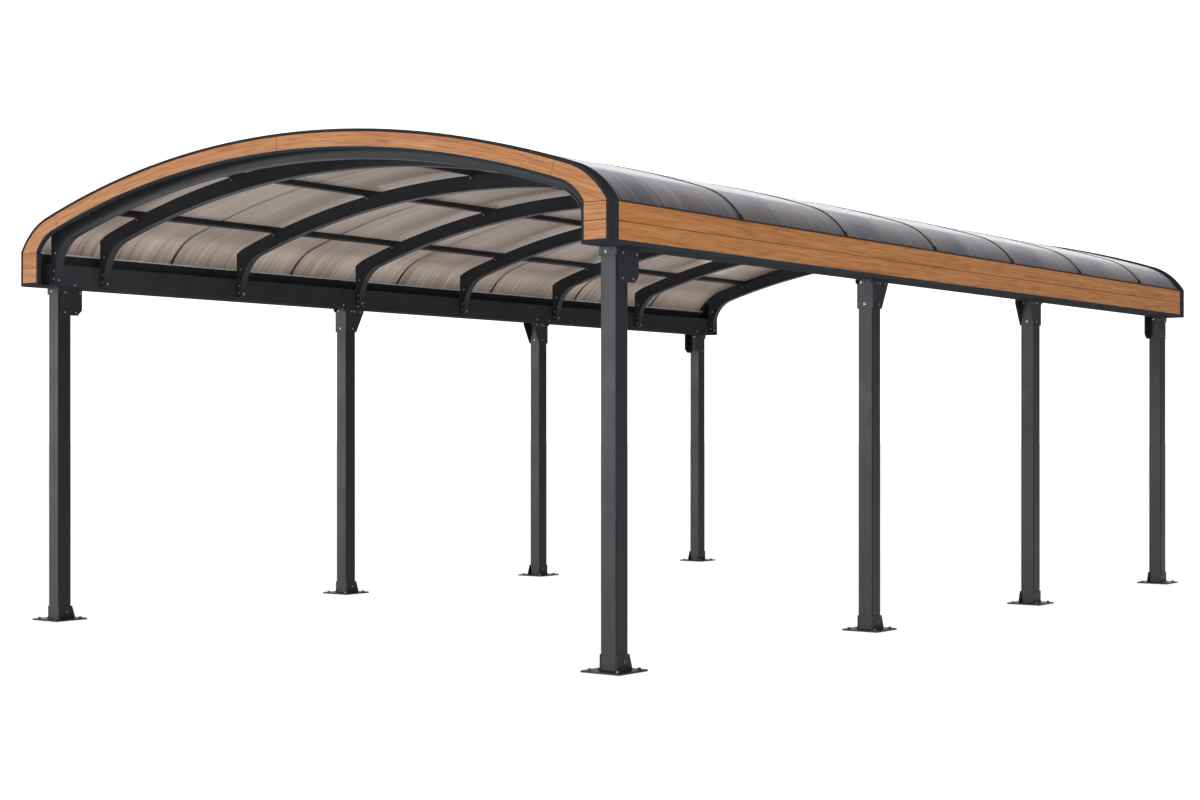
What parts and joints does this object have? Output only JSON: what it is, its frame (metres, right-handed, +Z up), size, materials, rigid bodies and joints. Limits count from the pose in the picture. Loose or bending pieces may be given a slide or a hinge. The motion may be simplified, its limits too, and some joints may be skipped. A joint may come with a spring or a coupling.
{
  "type": "arched carport",
  "caption": "Arched carport with square posts on base plates, gutter beams, bent ribs and purlins, a bronze twin-wall sheet roof, and wood-grain boards on its sides and end arches.",
  "frame": {"origin": "on the floor, at the middle of the carport's outline", "axes": "+X to the right seen from the front, +Y along the roof from front to back, +Z up"},
  "size_m": [4.556, 7.45, 2.7943],
  "materials": {
    "powder_coat": "satin anthracite powder coat on aluminium",
    "coated_steel": "satin anthracite powder coat on steel",
    "boards": "orange-tan wood-grain boards",
    "bronze_sheet": "bronze twin-wall polycarbonate"
  },
  "bodies": {
    "root": {"post_left_1": "powder_coat", "post_left_2": "powder_coat", "post_left_3": "powder_coat", "post_left_4": "powder_coat", "post_right_1": "powder_coat", "post_right_2": "powder_coat", "post_right_3": "powder_coat", "post_right_4": "powder_coat", "post_feet_left": "coated_steel", "post_feet_right": "coated_steel", "post_heads_left": "coated_steel", "post_heads_right": "coated_steel", "gutter_beam_left": "powder_coat", "gutter_beam_right": "powder_coat", "side_boards_left": "boards", "side_boards_right": "boards", "front_arch": "powder_coat", "back_arch": "powder_coat", "front_leg_boards": "boards", "front_knee_boards": "boards", "front_arch_boards": "boards", "back_leg_boards": "boards", "back_knee_boards": "boards", "back_arch_boards": "boards", "rib_1": "powder_coat", "rib_2": "powder_coat", "rib_3": "powder_coat", "rib_4": "powder_coat", "rib_5": "powder_coat", "rib_6": "powder_coat", "rib_7": "powder_coat", "rib_8": "powder_coat", "purlin_1": "powder_coat", "purlin_2": "powder_coat", "purlin_3": "powder_coat", "purlin_4": "powder_coat", "purlin_5": "powder_coat", "roof_sheet_1": "bronze_sheet", "roof_sheet_2": "bronze_sheet", "roof_sheet_3": "bronze_sheet", "roof_sheet_4": "bronze_sheet", "roof_sheet_5": "bronze_sheet", "roof_sheet_6": "bronze_sheet", "roof_sheet_7": "bronze_sheet", "joint_strips": "bronze_sheet"}
  },
  "joints": []
}
